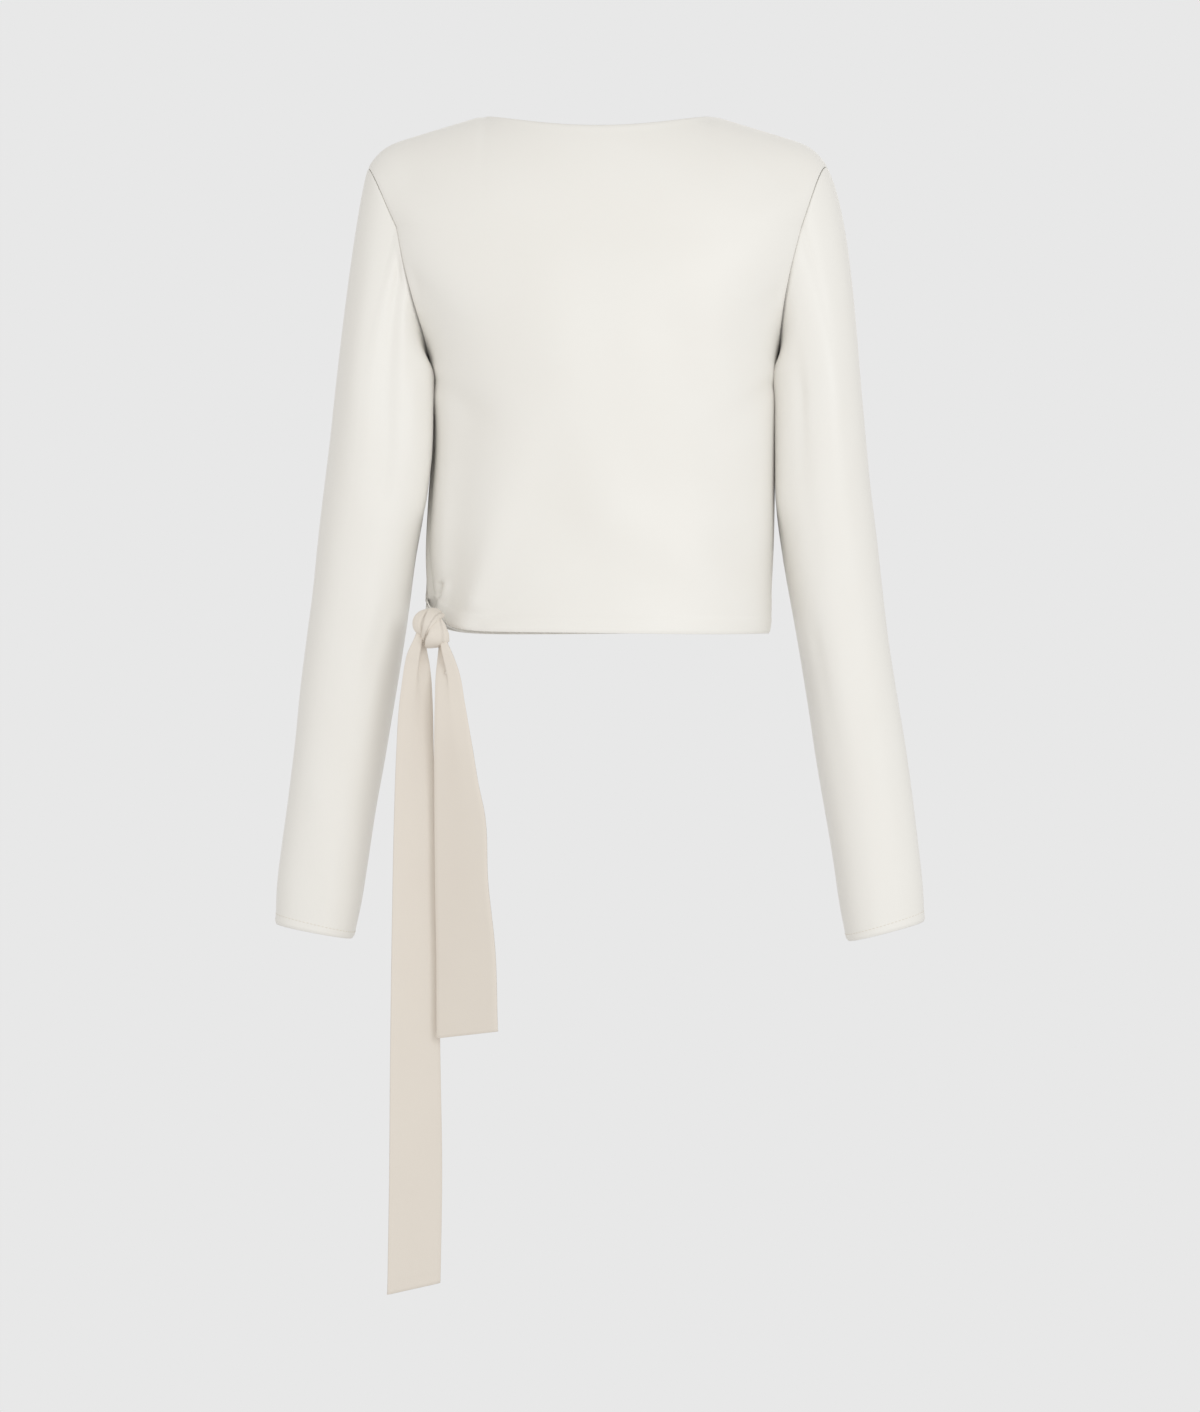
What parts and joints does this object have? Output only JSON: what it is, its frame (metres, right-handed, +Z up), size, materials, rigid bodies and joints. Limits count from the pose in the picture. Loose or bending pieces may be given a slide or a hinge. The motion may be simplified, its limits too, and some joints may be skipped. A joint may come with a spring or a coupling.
{
  "type": "wrap top",
  "caption": "Cropped long-sleeved wrap top in ivory satin-backed crepe, filled out as worn, with wrap fronts tied in a knot with two hanging ends at the left hip.",
  "frame": {"origin": "midway between the two neck points, where the shoulder seams reach the neckline and the wearer's shoulders carry the garment", "axes": "+Z up, +Y out of the garment's front, -X towards the wearer's left"},
  "size_m": [0.5337, 0.2172, 0.9561],
  "materials": {
    "ivory_cloth": "soft satin sheen",
    "tie_cloth": "matt crepe"
  },
  "bodies": {
    "root": {"back": "ivory_cloth", "front_right": "ivory_cloth", "front_left": "ivory_cloth", "sleeve_left": "ivory_cloth", "sleeve_right": "ivory_cloth", "tie_long": "tie_cloth", "tie_short": "tie_cloth", "knot": "tie_cloth"}
  },
  "joints": []
}
